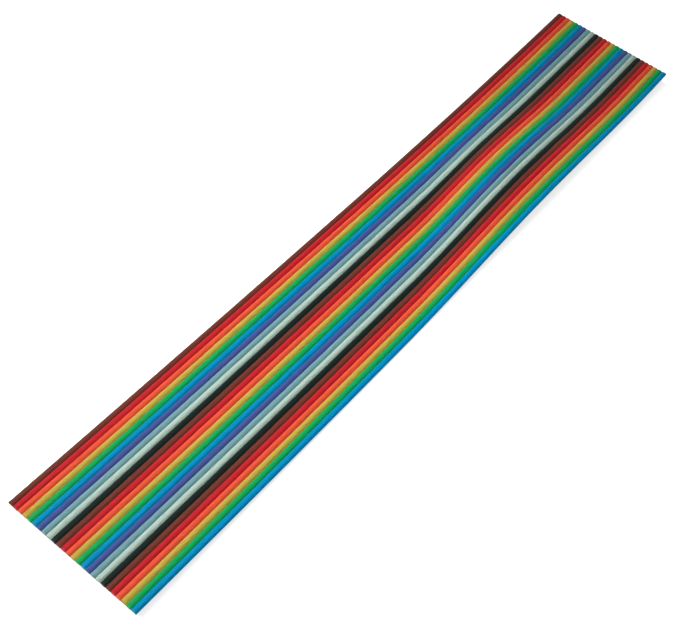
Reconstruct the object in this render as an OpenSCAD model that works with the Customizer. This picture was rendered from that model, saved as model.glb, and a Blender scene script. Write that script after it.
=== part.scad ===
// Flat ribbon cable, rainbow coded: insulated stranded wires bonded side by side,
// cut square at both ends and lying loose on a table.
// X runs along the cable, Y across it towards its first wire, Z up from the table.

/* [Cable] */
// Length from cut end to cut end
cable_length = 188; // [160:1:230]
// Number of wires side by side
wires = 26; // [6:1:26]
// Distance from one conductor to the next
pitch = 1.27; // [1.15:0.01:1.5]

/* [Insulation] */
// Thickness over a conductor, at the crest of a rib
rib_t = 0.9; // [0.75:0.01:1]
// Thickness in the groove where two wires are bonded
web_t = 0.36; // [0.25:0.01:0.45]

/* [Conductor] */
// Diameter of one strand
strand_d = 0.127; // [0.1:0.001:0.14]
// Gap between the strands and the insulation
bore_gap = 0.005; // [0.002:0.001:0.02]

/* [Curled ends] */
// Height to which the near end curls up at the first wire
near_rise_first = 0.9; // [0:0.1:4]
// Height to which the near end curls up at the last wire
near_rise_last = 2; // [0:0.1:5]
// Length of cable that the near curl takes
near_reach = 90; // [60:1:100]
// Height to which the far end curls up
far_rise = 3.1; // [0:0.1:5]
// Length of cable that the far curl takes
far_reach = 90; // [60:1:100]

/* [Hump] */
// Height of the hump that crosses the cable from its last wire
hump_rise = 2.7; // [0:0.1:5]
// Distance of the hump's crest from the near end where it dies out
hump_at_first = 137; // [120:1:145]
// Distance of the hump's crest from the near end at the last wire
hump_at_last = 129; // [115:1:140]
// Half the length of the hump where it dies out
hump_narrow = 15; // [10:1:30]
// Half the length of the hump at the last wire
hump_wide = 52; // [35:1:58]
// Distance from the first wire's edge at which the hump dies out
hump_start = 4; // [0:0.5:8]
// Width over which the hump grows to its full height
hump_blend = 18; // [14:0.5:24]

/* [Hidden] */
colour_code = [
    ["brown", "#76382d"], ["red", "#ca272f"], ["orange", "#ef5b3b"], ["yellow", "#c6b04a"],
    ["green", "#14aa5b"], ["blue", "#0090c5"], ["violet", "#49599a"], ["grey", "#79a6ab"],
    ["white", "#b9d1c4"], ["black", "#14201d"]
];
function wire_colour(i) = colour_code[i % len(colour_code)];
numbers = [for (i = [0:wires - 1]) str(i < 9 ? "0" : "", i + 1)];
insulation_names = [for (i = [0:wires - 1]) str("insulation_", numbers[i], "_", wire_colour(i)[0])];
conductor_names = [for (i = [0:wires - 1]) str("conductor_", numbers[i])];

cable_width = wires * pitch;
// a conductor is one strand with six laid round it, which fill a hexagon
bundle_r = 1.5 * strand_d;
bore_r = bundle_r + bore_gap;
// cross-sections stand this far apart, and the last one is at the far cut end
ring_step = 19;
rings = ceil(cable_length / ring_step) + 1;
// a rib is one arc from groove to groove, so its radius follows from its width and its depth
rib_depth = (rib_t - web_t) / 2;
rib_r = (pow(pitch / 2, 2) + pow(rib_depth, 2)) / (2 * rib_depth);
rib_arc = asin(pitch / 2 / rib_r);
rib_steps = 6;
// stretch of cable over which its slope is measured
slope_step = 1;

// a curl leaves the table gently and is steepest at the cut end
function curl(rise, reach, from_end) = rise * pow(max(1 - from_end / reach, 0), 2);

// 0 before the start, 1 after the blend, and smooth between the two
function grow(v) = let (t = min(max((v - hump_start) / hump_blend, 0), 1)) t * t * (3 - 2 * t);

function hump(u, v) =
    let (share = min(max((v - hump_start) / (cable_width - hump_start), 0), 1),
         half = hump_narrow + (hump_wide - hump_narrow) * share,
         crest = hump_at_first + (hump_at_last - hump_at_first) * share,
         t = min(max((u - crest) / half, -1), 1))
    hump_rise * grow(v) * (1 + cos(180 * t)) / 2;

// height of the cable's underside over the table, u from the near end and v from the first edge
function lift(u, v) =
    curl(near_rise_first + (near_rise_last - near_rise_first) * v / cable_width, near_reach, u)
    + curl(far_rise, far_reach, cable_length - u)
    + hump(u, v);

function slope(u, v) =
    atan((lift(u + slope_step / 2, v) - lift(u - slope_step / 2, v)) / slope_step);

// a point of the flat cable, s above its middle layer, carried to where the bent cable has it
function place(u, v, s) =
    let (a = slope(u, v))
    [u - cable_length / 2 - s * sin(a), cable_width / 2 - v, rib_t / 2 + lift(u, v) + s * cos(a)];

// each section's points give the place across the wire in pitches, 0 and 1 at its two bonds,
// and the height over the middle layer
function across(a) = 0.5 + a / pitch;

// the upper arc of the insulation and then the lower one, which is the upper one turned round
insulation_section = [
    for (side = [1, -1]) for (n = [0:rib_steps])
        let (a = side * rib_arc * (1 - 2 * n / rib_steps))
        [across(rib_r * sin(a)), side * (rib_t / 2 - rib_r * (1 - cos(a)))]
];

function hexagon(r) = [for (a = [0:60:300]) [across(r * cos(a)), r * sin(a)]];

bore_section = hexagon(bore_r);
bundle_section = hexagon(bundle_r);

// the section's points at every ring along wire i
function swept(i, section) = [
    for (n = [0:rings - 1]) for (p = section)
        place(min(n * ring_step, cable_length), (i + p.x) * pitch, p.y)
];

// triangles between the rings of one closed outline of so many points, first being its first point
function walls(points, all_points, first, inward) = [
    for (n = [0:rings - 2]) for (j = [0:points - 1])
        let (a = n * all_points + first + j,
             b = n * all_points + first + (j + 1) % points,
             c = a + all_points,
             d = b + all_points)
        each inward ? [[a, c, b], [b, c, d]] : [[a, b, c], [b, d, c]]
];

function reversed(list) = [for (k = [len(list) - 1:-1:0]) list[k]];

// a cut end of the insulation: triangles between the outline, whose first point is o, and the bore,
// whose first point is b, over one half and then over the other, which is the same half turned round
function cut_face(o, b) = [
    for (half = [0, 0.5])
        let (outer = len(insulation_section),
             inner = len(bore_section),
             p = function (k) o + (k + half * outer) % outer,
             q = function (k) b + (k + half * inner) % inner)
        each [
            [p(0), p(1), q(0)], [p(1), p(2), q(0)], [p(2), q(1), q(0)], [p(2), p(3), q(1)],
            [p(3), q(2), q(1)], [p(3), p(4), q(2)], [p(4), q(3), q(2)], [p(4), p(5), q(3)],
            [p(5), p(6), q(3)], [p(6), p(7), q(3)]
        ]
];

module insulation(i) {
    outer = len(insulation_section);
    inner = len(bore_section);
    all_points = outer + inner;
    last = (rings - 1) * all_points;
    color(wire_colour(i)[1])
        polyhedron(
            points = swept(i, concat(insulation_section, bore_section)),
            faces = concat(
                walls(outer, all_points, 0, false),
                walls(inner, all_points, outer, true),
                [for (f = cut_face(0, outer)) reversed(f)],
                cut_face(last, last + outer)
            )
        );
}

module conductor(i) {
    sides = len(bundle_section);
    color("silver")
        polyhedron(
            points = swept(i, bundle_section),
            faces = concat(
                walls(sides, sides, 0, false),
                [[for (k = [sides - 1:-1:0]) k]],
                [[for (k = [0:sides - 1]) (rings - 1) * sides + k]]
            )
        );
}

for (i = [0:wires - 1]) {
    insulation(i);
    conductor(i);
}
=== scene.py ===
import math

import bpy
from mathutils import Matrix, Vector


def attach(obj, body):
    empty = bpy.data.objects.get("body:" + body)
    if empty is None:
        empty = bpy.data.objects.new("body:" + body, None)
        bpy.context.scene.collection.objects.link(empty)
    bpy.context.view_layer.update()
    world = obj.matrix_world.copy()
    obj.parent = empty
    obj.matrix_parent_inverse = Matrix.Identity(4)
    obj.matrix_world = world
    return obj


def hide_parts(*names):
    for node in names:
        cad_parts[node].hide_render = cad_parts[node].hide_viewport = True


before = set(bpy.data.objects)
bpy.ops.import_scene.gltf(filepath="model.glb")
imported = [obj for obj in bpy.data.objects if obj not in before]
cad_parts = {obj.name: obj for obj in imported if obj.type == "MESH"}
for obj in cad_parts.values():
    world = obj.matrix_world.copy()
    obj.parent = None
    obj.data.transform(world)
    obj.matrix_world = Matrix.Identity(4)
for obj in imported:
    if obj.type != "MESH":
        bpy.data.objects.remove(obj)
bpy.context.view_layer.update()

print("frame loaded with", len(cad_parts), "solids")

mmPerMetre = 1000  # pieces are built in metres, and their patterns are laid out in millimetres


# Small helpers

def toLinear(hexCode):
    # an sRGB colour code as the linear colour that a shader takes
    channels = []
    for start in (1, 3, 5):
        value = int(hexCode[start:start + 2], 16) / 255
        channels.append(value / 12.92 if value <= 0.04045 else ((value + 0.055) / 1.055) ** 2.4)
    return (*channels, 1.0)


def addNode(tree, kind, settings=None, links=None):
    # settings go to the node's own options or to its input sockets
    # links say which output feeds which input
    node = tree.nodes.new(kind)
    for name, value in (settings or {}).items():
        if isinstance(name, str) and hasattr(node, name):
            setattr(node, name, value)
        else:
            node.inputs[name].default_value = value
    for name, output in (links or {}).items():
        tree.links.new(output, node.inputs[name])
    return node


def emptyMaterial(name):
    material = bpy.data.materials.new(name)
    material.use_nodes = True
    material.node_tree.nodes.clear()
    return material


# Camera: found from the photo's perspective of the stripes and both cut edges

photoCamera = {
    "place": Vector((-0.13837, -0.07737, 0.19673)),
    "forward": Vector((0.49415, 0.31457, -0.81047)),
    "up": Vector((0.59886, 0.55263, 0.57963)),
    "lens": 60.36,  # mm
    "sensor": 36,  # mm
    "sees": (0.01, 20),  # nearest and farthest distance
}


def buildCamera(look):
    data = bpy.data.cameras.new("photo camera")
    data.lens = look["lens"]
    data.sensor_width = look["sensor"]
    data.clip_start, data.clip_end = look["sees"]
    forward = look["forward"].normalized()
    right = forward.cross(look["up"]).normalized()
    up = right.cross(forward)
    turn = Matrix((right, up, -forward)).transposed().to_4x4()
    camera = bpy.data.objects.new("photo camera", data)
    camera.matrix_world = Matrix.Translation(look["place"]) @ turn
    bpy.context.scene.collection.objects.link(camera)
    bpy.context.scene.camera = camera


buildCamera(photoCamera)
print("camera placed")


# The ribbon: the same sizes and the same lie as the solids, in metres

ribbon = {
    "length": 0.188,  # from cut end to cut end
    "wires": 26,
    "pitch": 0.00127,  # 0.050 inch from conductor to conductor
    "crestHalf": 0.00045,  # half the thickness over a conductor
    "webHalf": 0.00018,  # half the thickness in the groove between two wires
    "grooveRadius": 0.00003,
    "boreRadius": 0.0001955,
    "slitRounding": 0.00006,  # corner radius of the two slit edges
    "rollover": 0.00003,  # how far the shears press the top down at a cut
    "rolloverLength": 0.00012,
    "ringStep": 0.002,  # from one cross-section to the next
    "ribSteps": 12,  # along the arc over one wire
    "grooveSteps": 3,  # along half a groove
    "slitSteps": 4,  # round the corner of a slit edge
    "boreSides": 16,
    "sharpAngle": 50,  # degrees; edges that turn further stay sharp
    "patternShift": 10,  # mm, so that each wire shows another part of the pattern
    "routeSteps": 24,  # along the route that says where a wire lies
}
lie = {
    "nearRiseFirst": 0.0009,  # height of the near end at the first wire
    "nearRiseLast": 0.002,  # and at the last one
    "nearReach": 0.090,  # length of cable that the near curl takes
    "farRise": 0.0031,
    "farReach": 0.090,
    "humpRise": 0.0027,
    "humpAtFirst": 0.137,  # from the near end to the hump's crest, where the hump dies out
    "humpAtLast": 0.129,  # and at the last wire
    "humpNarrow": 0.015,  # half the hump's length where it dies out
    "humpWide": 0.052,  # and at the last wire
    "humpStart": 0.004,  # from the first wire's edge to where the hump dies out
    "humpBlend": 0.018,  # width over which the hump grows to its full height
    "slopeStep": 0.0005,  # the slope is measured from this far before a point to this far past it
}
width = ribbon["wires"] * ribbon["pitch"]


def clamp(value, low, high):
    return max(low, min(high, value))


def curl(rise, reach, fromEnd):
    return rise * max(1 - fromEnd / reach, 0) ** 2


def liftAt(u, v):
    # height of the underside over the table, u from the near end and v from the first edge
    nearRise = lie["nearRiseFirst"] + (lie["nearRiseLast"] - lie["nearRiseFirst"]) * v / width
    ends = curl(nearRise, lie["nearReach"], u) + curl(lie["farRise"], lie["farReach"], ribbon["length"] - u)
    share = clamp((v - lie["humpStart"]) / (width - lie["humpStart"]), 0, 1)
    half = lie["humpNarrow"] + (lie["humpWide"] - lie["humpNarrow"]) * share
    crest = lie["humpAtFirst"] + (lie["humpAtLast"] - lie["humpAtFirst"]) * share
    along = clamp((u - crest) / half, -1, 1)
    grown = clamp((v - lie["humpStart"]) / lie["humpBlend"], 0, 1)
    return ends + lie["humpRise"] * grown * grown * (3 - 2 * grown) * (1 + math.cos(math.pi * along)) / 2


def placePoint(u, v, s):
    # a point of the flat ribbon, s above its middle layer, carried to where the bent ribbon has it
    step = lie["slopeStep"]
    slope = math.atan((liftAt(u + step, v) - liftAt(u - step, v)) / (2 * step))
    x = u - ribbon["length"] / 2 - s * math.sin(slope)
    return (x, width / 2 - v, ribbon["crestHalf"] + liftAt(u, v) + s * math.cos(slope))


def ringStations(step):
    count = round(ribbon["length"] / step)
    return [ribbon["length"] * n / count for n in range(count + 1)]


# Sections, as points (a, s): a across the wire and s up, both from its axis, going round clockwise

def arcPoints(centre, radius, first, last, count):
    # points of an arc, angles in degrees from straight up and turning towards +a
    points = []
    for n in range(count + 1):
        angle = math.radians(first + (last - first) * n / count)
        points.append((centre[0] + radius * math.sin(angle), centre[1] + radius * math.cos(angle)))
    return points


def circlePoints(radius, sides):
    return arcPoints((0, 0), radius, 0, 360, sides)[:-1]


def insulationSection(slitLeft, slitRight):
    # outline of one wire's insulation, from its left bond
    half = ribbon["pitch"] / 2
    groove = ribbon["grooveRadius"]
    corner = ribbon["slitRounding"]
    above = ribbon["webHalf"] + groove - ribbon["crestHalf"]  # groove's centre over the crest
    # an arc of this radius meets the groove smoothly
    rib = (half ** 2 + above ** 2 - groove ** 2) / (2 * (groove - above))
    middle = (0, ribbon["crestHalf"] - rib)

    def sideArc(slit):
        # how far the rib's arc turns to the right, and what closes it there: a slit edge or the groove
        if slit:
            turn = math.asin((half - corner) / (rib - corner))
            centre = (half - corner, middle[1] + (rib - corner) * math.cos(turn))
            turn = math.degrees(turn)
            return turn, arcPoints(centre, corner, turn, 90, ribbon["slitSteps"])
        turn = math.degrees(math.asin(half / (rib + groove)))
        centre = (half, ribbon["webHalf"] + groove)
        return turn, arcPoints(centre, groove, 180 + turn, 180, ribbon["grooveSteps"])

    leftTurn, leftEnd = sideArc(slitLeft)
    rightTurn, rightEnd = sideArc(slitRight)
    top = [(-a, s) for a, s in reversed(leftEnd)][:-1]
    top += arcPoints(middle, rib, -leftTurn, rightTurn, ribbon["ribSteps"])
    top += rightEnd[1:]
    bottom = [(a, -s) for a, s in reversed(top)]
    return top + bottom


def lengthsAround(section, start):
    # mm along an outline to each of its points and back to the first, counted from start
    lengths = [start]
    for n in range(len(section)):
        side = math.dist(section[n], section[(n + 1) % len(section)])
        lengths.append(lengths[-1] + side * mmPerMetre)
    return lengths


def closeRing(outer, inner, outerFirst, innerFirst):
    # triangles between an outline and the bore inside it, advancing by whichever turns less

    def turned(points, n):
        # how far round from the first point the n-th one lies, with the full turns before it
        start = math.atan2(*points[0])
        angle = (math.atan2(*points[n % len(points)]) - start) % math.tau
        return angle + math.tau * (n // len(points))

    # the bore starts with its first point that follows the outline's first one
    offset = (math.atan2(*inner[0]) - math.atan2(*outer[0])) % math.tau
    shift = min(range(len(inner)), key=lambda n: (turned(inner, n) + offset) % math.tau)
    base = (turned(inner, shift) + offset) % math.tau - turned(inner, shift)
    faces = []
    o = 0
    i = shift
    while o < len(outer) or i < shift + len(inner):
        nextOuter = turned(outer, o + 1)
        nextInner = turned(inner, i + 1) + base
        here = (outerFirst + o % len(outer), innerFirst + i % len(inner))
        if i >= shift + len(inner) or (o < len(outer) and nextOuter <= nextInner):
            faces.append((here[0], outerFirst + (o + 1) % len(outer), here[1]))
            o += 1
        else:
            faces.append((here[0], innerFirst + (i + 1) % len(inner), here[1]))
            i += 1
    return faces


# Meshes: walls take the first material and cut faces the second

def emptyShape():
    return {"points": [], "faces": [], "uvs": [], "materials": []}


def addWalls(shape, stations, ringSize, first, around, inward=False):
    # quads from ring to ring along one outline, whose first point is number first
    sides = len(around) - 1
    for n in range(len(stations) - 1):
        here = stations[n] * mmPerMetre
        there = stations[n + 1] * mmPerMetre
        for k in range(sides):
            p = first + n * ringSize + k
            q = first + n * ringSize + (k + 1) % sides
            low = around[k]
            high = around[k + 1]
            corners = [p, q, q + ringSize, p + ringSize]
            uvs = [(here, low), (here, high), (there, high), (there, low)]
            if inward:
                corners[1:] = reversed(corners[1:])
                uvs[1:] = reversed(uvs[1:])
            shape["faces"].append(corners)
            shape["uvs"] += uvs
            shape["materials"].append(0)


def addCutFace(shape, corners, first, places, flip):
    # places holds the pattern's place of each point of the ring that starts with point number first
    corners = list(reversed(corners)) if flip else corners
    shape["faces"].append(corners)
    shape["uvs"] += [places[k - first] for k in corners]
    shape["materials"].append(1)


def buildMesh(name, shape, skin, cut):
    mesh = bpy.data.meshes.new(name)
    mesh.from_pydata(shape["points"], [], shape["faces"])
    mesh.materials.append(skin)
    mesh.materials.append(cut)
    mesh.polygons.foreach_set("material_index", shape["materials"])
    layer = mesh.uv_layers.new(name="millimetres")
    layer.data.foreach_set("uv", [value for uv in shape["uvs"] for value in uv])
    mesh.shade_smooth()
    mesh.set_sharp_from_angle(angle=math.radians(ribbon["sharpAngle"]))
    mesh.update()
    piece = bpy.data.objects.new(name, mesh)
    bpy.context.scene.collection.objects.link(piece)
    return piece


def buildJacket(wire, name, skin, cut):
    outline = insulationSection(wire == 0, wire == ribbon["wires"] - 1)
    bore = circlePoints(ribbon["boreRadius"], ribbon["boreSides"])
    section = outline + bore
    size = len(section)
    stations = ringStations(ribbon["ringStep"])
    stations.insert(1, ribbon["rolloverLength"])
    stations.insert(-1, ribbon["length"] - ribbon["rolloverLength"])
    axis = (wire + 0.5) * ribbon["pitch"]
    shift = ribbon["patternShift"] * wire
    shape = emptyShape()
    for n, u in enumerate(stations):
        pressed = ribbon["rollover"] if n in (0, len(stations) - 1) else 0
        for k, (a, s) in enumerate(section):
            # the shears press the outline's upper half down, and the conductor holds the bore
            down = pressed * clamp(s / ribbon["crestHalf"], 0, 1) if k < len(outline) else 0
            shape["points"].append(placePoint(u, axis + a, s - down))
    addWalls(shape, stations, size, 0, lengthsAround(outline, shift))
    addWalls(shape, stations, size, len(outline), lengthsAround(bore, 0), inward=True)
    places = [(shift + a * mmPerMetre, s * mmPerMetre) for a, s in section]
    last = (len(stations) - 1) * size
    for first, flip in ((0, True), (last, False)):
        for corners in closeRing(outline, bore, first, first + len(outline)):
            addCutFace(shape, corners, first, places, flip)
    return buildMesh(name, shape, skin, cut)


# Conductors: seven fine strands of 0.127 mm, six of them laid round the middle one

strand = {
    "radius": 0.0000635,
    "outer": 6,
    "lay": 0.009,  # length in which the outer strands go round once
    "sides": 8,
    "ringStep": 0.0015,
    "recess": 0.00004,  # most that a strand's end lies back from the cut
    "recessSteps": (3, 2),  # from one strand and from one wire to the next, so that the ends are uneven
}


def buildStrands(wire, name, skin, cut):
    axis = (wire + 0.5) * ribbon["pitch"]
    stations = ringStations(strand["ringStep"])
    circle = circlePoints(strand["radius"], strand["sides"])
    size = len(circle)
    outer = strand["outer"]
    perStrand, perWire = strand["recessSteps"]
    shape = emptyShape()
    for number in range(outer + 1):
        first = len(shape["points"])
        steps = (number * perStrand + wire * perWire) % (outer + 1)
        back = strand["recess"] * steps / outer
        reach = 2 * strand["radius"] if number < outer else 0  # from the conductor's axis
        for u in stations:
            at = clamp(u, back, ribbon["length"] - back)
            turn = math.tau * (at / strand["lay"] + number / outer)
            across = reach * math.sin(turn)
            above = reach * math.cos(turn)
            shape["points"] += [placePoint(at, axis + across + a, above + s) for a, s in circle]
        addWalls(shape, stations, size, first, lengthsAround(circle, 0))
        places = [(number + a * mmPerMetre, s * mmPerMetre) for a, s in circle]
        last = first + (len(stations) - 1) * size
        for start, flip in ((first, True), (last, False)):
            addCutFace(shape, range(start, start + size), start, places, flip)
    return buildMesh(name, shape, skin, cut)


# Insulation materials

pvc = {
    "colours": {  # the colour code, in its order
        "brown": "#76382d",
        "red": "#ca272f",
        "orange": "#ef5b3b",
        "yellow": "#c6b04a",
        "green": "#14aa5b",
        "blue": "#0090c5",
        "violet": "#49599a",
        "grey": "#79a6ab",
        "white": "#b9d1c4",
        "black": "#14201d",
    },
    "ior": 1.53,
    "specular": 0.06,  # the matt skin mirrors less than polished PVC would
}
extruded = {
    "line": 0.10,  # mm between the lines of the die; really 0.03, drawn coarser so that they show
    "streak": 40.0,  # mm, length of one line along the wire
    "lineNoise": {"Scale": 1.0, "Detail": 3.0, "Roughness": 0.5},
    "lineDepth": 0.000004,
    "bump": 0.5,
    "shade": 0.90,  # share of the colour that is left in the deepest streaks
    "patch": (5.0, 2.5),  # mm along and across, size of the places where the skin is hazier
    "patchNoise": {"Scale": 1.0, "Detail": 4.0, "Roughness": 0.6},
    "patchRange": (0.3, 0.7),  # levels of that noise that are smooth and hazy
    "roughness": (0.38, 0.50),  # of the smooth and the hazy places
}
sheared = {
    "mark": (0.07, 0.5),  # mm from mark to mark across, and length of one mark in the way of the cut
    "markNoise": {"Scale": 1.0, "Detail": 5.0, "Roughness": 0.6},
    "markDepth": 0.00001,
    "bump": 0.6,
    "whitening": 0.10,  # share of the way to white, at the palest
    "roughness": 0.7,
}


def pvcExtruded(name, hexCode):
    # Flexible PVC, extruded: an even colour with faint streaks along the wire and a satin, hazy skin
    material = emptyMaterial(name)
    tree = material.node_tree
    colour = toLinear(hexCode)
    deeper = tuple(extruded["shade"] * c for c in colour[:3]) + (1.0,)
    along, across = extruded["patch"]
    smoothLevel, hazyLevel = extruded["patchRange"]
    smooth, hazy = extruded["roughness"]
    place = addNode(tree, "ShaderNodeUVMap", {"uv_map": "millimetres"})
    lines = addNode(tree, "ShaderNodeMapping",
                    {"Scale": (1 / extruded["streak"], 1 / extruded["line"], 1)},
                    {"Vector": place.outputs["UV"]})
    patches = addNode(tree, "ShaderNodeMapping", {"Scale": (1 / along, 1 / across, 1)},
                      {"Vector": place.outputs["UV"]})
    dieLines = addNode(tree, "ShaderNodeTexNoise", extruded["lineNoise"],
                       {"Vector": lines.outputs["Vector"]})
    haze = addNode(tree, "ShaderNodeTexNoise", extruded["patchNoise"],
                   {"Vector": patches.outputs["Vector"]})
    tint = addNode(tree, "ShaderNodeMix", {"data_type": "RGBA", 6: colour, 7: deeper},
                   {0: dieLines.outputs["Fac"]})
    rough = addNode(tree, "ShaderNodeMapRange",
                    {"From Min": smoothLevel, "From Max": hazyLevel, "To Min": smooth, "To Max": hazy},
                    {"Value": haze.outputs["Fac"]})
    bump = addNode(tree, "ShaderNodeBump", {"Strength": extruded["bump"], "Distance": extruded["lineDepth"]},
                   {"Height": dieLines.outputs["Fac"]})
    shader = addNode(tree, "ShaderNodeBsdfPrincipled",
                     {"IOR": pvc["ior"], "Specular IOR Level": pvc["specular"]},
                     {"Base Color": tint.outputs[2], "Roughness": rough.outputs["Result"],
                      "Normal": bump.outputs["Normal"]})
    addNode(tree, "ShaderNodeOutputMaterial", None, {"Surface": shader.outputs["BSDF"]})
    return material


def pvcSheared(name, hexCode):
    # The same PVC where shears went through: paler and matt, with fine marks in the way of the cut
    material = emptyMaterial(name)
    tree = material.node_tree
    colour = toLinear(hexCode)
    paler = tuple(c + sheared["whitening"] * (1 - c) for c in colour[:3]) + (1.0,)
    spacing, length = sheared["mark"]
    place = addNode(tree, "ShaderNodeUVMap", {"uv_map": "millimetres"})
    marks = addNode(tree, "ShaderNodeMapping", {"Scale": (1 / spacing, 1 / length, 1)},
                    {"Vector": place.outputs["UV"]})
    scuffs = addNode(tree, "ShaderNodeTexNoise", sheared["markNoise"], {"Vector": marks.outputs["Vector"]})
    tint = addNode(tree, "ShaderNodeMix", {"data_type": "RGBA", 6: colour, 7: paler},
                   {0: scuffs.outputs["Fac"]})
    bump = addNode(tree, "ShaderNodeBump", {"Strength": sheared["bump"], "Distance": sheared["markDepth"]},
                   {"Height": scuffs.outputs["Fac"]})
    shader = addNode(tree, "ShaderNodeBsdfPrincipled",
                     {"IOR": pvc["ior"], "Specular IOR Level": pvc["specular"],
                      "Roughness": sheared["roughness"]},
                     {"Base Color": tint.outputs[2], "Normal": bump.outputs["Normal"]})
    addNode(tree, "ShaderNodeOutputMaterial", None, {"Surface": shader.outputs["BSDF"]})
    return material


# Conductor materials

tinned = {
    "colour": "#c9c6bf",
    "other": "#a9a59c",  # in the lines
    "roughness": (0.24, 0.40),
    "line": (2.0, 0.05),  # mm, length of a line and distance to the next; coarser, so that they show
}
bared = {
    "colour": "#c98f6c",
    "other": "#c9c6bf",  # tin that the shears dragged over the copper
    "roughness": (0.37, 0.53),
    "line": (0.07, 0.07),  # mm, from mark to mark both ways
}
relief = {
    "noise": {"Scale": 1.0, "Detail": 4.0, "Roughness": 0.6},
    "depth": 0.000002,
    "bump": 0.4,
}


def copperStrand(name, look):
    # Soft copper, drawn and tinned: a bright grey with fine lines along the strand
    # Where shears went through, the bare copper shows, rougher and with tin over it
    material = emptyMaterial(name)
    tree = material.node_tree
    length, spacing = look["line"]
    smooth, dull = look["roughness"]
    place = addNode(tree, "ShaderNodeUVMap", {"uv_map": "millimetres"})
    lines = addNode(tree, "ShaderNodeMapping", {"Scale": (1 / length, 1 / spacing, 1)},
                    {"Vector": place.outputs["UV"]})
    drawn = addNode(tree, "ShaderNodeTexNoise", relief["noise"], {"Vector": lines.outputs["Vector"]})
    tint = addNode(tree, "ShaderNodeMix",
                   {"data_type": "RGBA", 6: toLinear(look["colour"]), 7: toLinear(look["other"])},
                   {0: drawn.outputs["Fac"]})
    rough = addNode(tree, "ShaderNodeMapRange", {"To Min": smooth, "To Max": dull},
                    {"Value": drawn.outputs["Fac"]})
    bump = addNode(tree, "ShaderNodeBump", {"Strength": relief["bump"], "Distance": relief["depth"]},
                   {"Height": drawn.outputs["Fac"]})
    shader = addNode(tree, "ShaderNodeBsdfPrincipled", {"Metallic": 1.0},
                     {"Base Color": tint.outputs[2], "Roughness": rough.outputs["Result"],
                      "Normal": bump.outputs["Normal"]})
    addNode(tree, "ShaderNodeOutputMaterial", None, {"Surface": shader.outputs["BSDF"]})
    return material


skins = {}
cuts = {}
for colourName, hexCode in pvc["colours"].items():
    skins[colourName] = pvcExtruded(f"PVC extruded, {colourName}", hexCode)
    cuts[colourName] = pvcSheared(f"PVC sheared, {colourName}", hexCode)
tinnedStrand = copperStrand("Copper wire, drawn and tinned", tinned)
shearedStrand = copperStrand("Copper wire, sheared", bared)
print("materials made:", len(skins), "insulation colours")


# Wires: the colour code runs from the first wire on and starts again after its last colour

colourCode = list(pvc["colours"])

for wire in range(ribbon["wires"]):
    colourName = colourCode[wire % len(colourCode)]
    number = f"{wire + 1:02d}"
    strands = buildStrands(wire, f"strands_{number}", tinnedStrand, shearedStrand)
    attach(strands, "root")
    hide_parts(f"conductor_{number}")
    jacket = buildJacket(wire, f"jacket_{number}_{colourName}", skins[colourName], cuts[colourName])
    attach(jacket, "root")
    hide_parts(f"insulation_{number}_{colourName}")
    axis = (wire + 0.5) * ribbon["pitch"]
    route = [placePoint(u, axis, 0) for u in ringStations(ribbon["length"] / ribbon["routeSteps"])]
    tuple(route[0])
print("wires built:", ribbon["wires"])


# Floor, world and lamps

studio = {
    "floorColour": "#f2f2f0",
    "floorHalf": 1.5,
    "floorDrop": 0.00002,  # just under the cable
    "lightColour": "#ffffff",
    "cameraGlow": (0.74, 1.0),  # what makes the floor read as white to the camera, near and far off
    "glowReach": (0.12, 0.60),  # from the cable's middle, where the near glow ends and the far one starts
    "ambient": 0.12,
    "keyLamp": {  # from beside the near end
        "place": Vector((-0.16, 0.38, 0.42)),
        "aim": Vector((-0.04, 0, 0)),
        "size": 0.22,
        "power": 0.175,
        "spread": 38,  # degrees, as a softbox with a grid: the light falls off towards the far end
    },
    "topLamp": {
        "place": Vector((-0.03, 0.03, 0.28)),
        "aim": Vector((-0.03, 0, 0)),
        "size": 0.10,
        "power": 0.245,
        "spread": 180,
    },
}


def seenDirectly(tree):
    # 1 for rays from the camera, a mirror or glass, and 0 for the rays that carry light to the object
    path = addNode(tree, "ShaderNodeLightPath")
    either = addNode(tree, "ShaderNodeMath", {"operation": "MAXIMUM"},
                     {0: path.outputs["Is Camera Ray"], 1: path.outputs["Is Glossy Ray"]})
    return addNode(tree, "ShaderNodeMath", {"operation": "MAXIMUM"},
                   {0: either.outputs[0], 1: path.outputs["Is Transmission Ray"]}).outputs[0]


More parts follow.
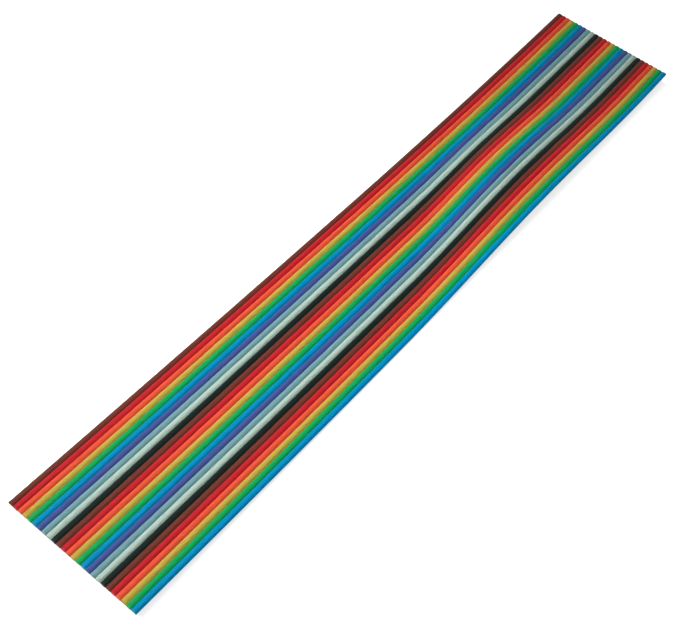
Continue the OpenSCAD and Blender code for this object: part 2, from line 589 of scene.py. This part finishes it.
def paperBackdrop(name):
    # Matt white paper: it takes a soft shadow, and a glow for the camera alone makes it read as white
    material = emptyMaterial(name)
    tree = material.node_tree
    nearGlow, farGlow = studio["cameraGlow"]
    nearReach, farReach = studio["glowReach"]
    seen = seenDirectly(tree)
    place = addNode(tree, "ShaderNodeTexCoord")
    distance = addNode(tree, "ShaderNodeVectorMath", {"operation": "LENGTH"}, {0: place.outputs["Object"]})
    fade = addNode(tree, "ShaderNodeMapRange",
                   {"interpolation_type": "SMOOTHSTEP", "From Min": nearReach, "From Max": farReach,
                    "To Min": nearGlow, "To Max": farGlow},
                   {"Value": distance.outputs["Value"]})
    glow = addNode(tree, "ShaderNodeMath", {"operation": "MULTIPLY"}, {0: seen, 1: fade.outputs["Result"]})
    light = addNode(tree, "ShaderNodeEmission", {"Color": toLinear(studio["lightColour"])},
                    {"Strength": glow.outputs[0]})
    paper = addNode(tree, "ShaderNodeBsdfDiffuse", {"Color": toLinear(studio["floorColour"])})
    both = addNode(tree, "ShaderNodeAddShader", None,
                   {0: paper.outputs["BSDF"], 1: light.outputs["Emission"]})
    addNode(tree, "ShaderNodeOutputMaterial", None, {"Surface": both.outputs["Shader"]})
    return material


def buildFloor():
    half = studio["floorHalf"]
    low = -studio["floorDrop"]
    mesh = bpy.data.meshes.new("floor")
    corners = [(-half, -half, low), (half, -half, low), (half, half, low), (-half, half, low)]
    mesh.from_pydata(corners, [], [(0, 1, 2, 3)])
    mesh.materials.append(paperBackdrop("Paper backdrop, matt"))
    floor = bpy.data.objects.new("floor", mesh)
    bpy.context.scene.collection.objects.link(floor)


def buildWorld():
    world = bpy.data.worlds.new("studio")
    world.use_nodes = True
    tree = world.node_tree
    tree.nodes.clear()
    strength = addNode(tree, "ShaderNodeMapRange", {"To Min": studio["ambient"], "To Max": 1.0},
                       {"Value": seenDirectly(tree)})
    sky = addNode(tree, "ShaderNodeBackground", {"Color": toLinear(studio["lightColour"])},
                  {"Strength": strength.outputs["Result"]})
    addNode(tree, "ShaderNodeOutputWorld", None, {"Surface": sky.outputs["Background"]})
    bpy.context.scene.world = world


def buildLamp(name, look):
    data = bpy.data.lights.new(name, "AREA")
    data.shape = "SQUARE"
    data.size = look["size"]
    data.energy = look["power"]
    data.spread = math.radians(look["spread"])
    lamp = bpy.data.objects.new(name, data)
    lamp.location = look["place"]
    lamp.rotation_euler = (look["aim"] - look["place"]).to_track_quat("-Z", "Y").to_euler()
    bpy.context.scene.collection.objects.link(lamp)


buildFloor()
buildWorld()
buildLamp("key lamp", studio["keyLamp"])
buildLamp("top lamp", studio["topLamp"])
bpy.context.scene.view_settings.view_transform = "Standard"
print("studio lit")
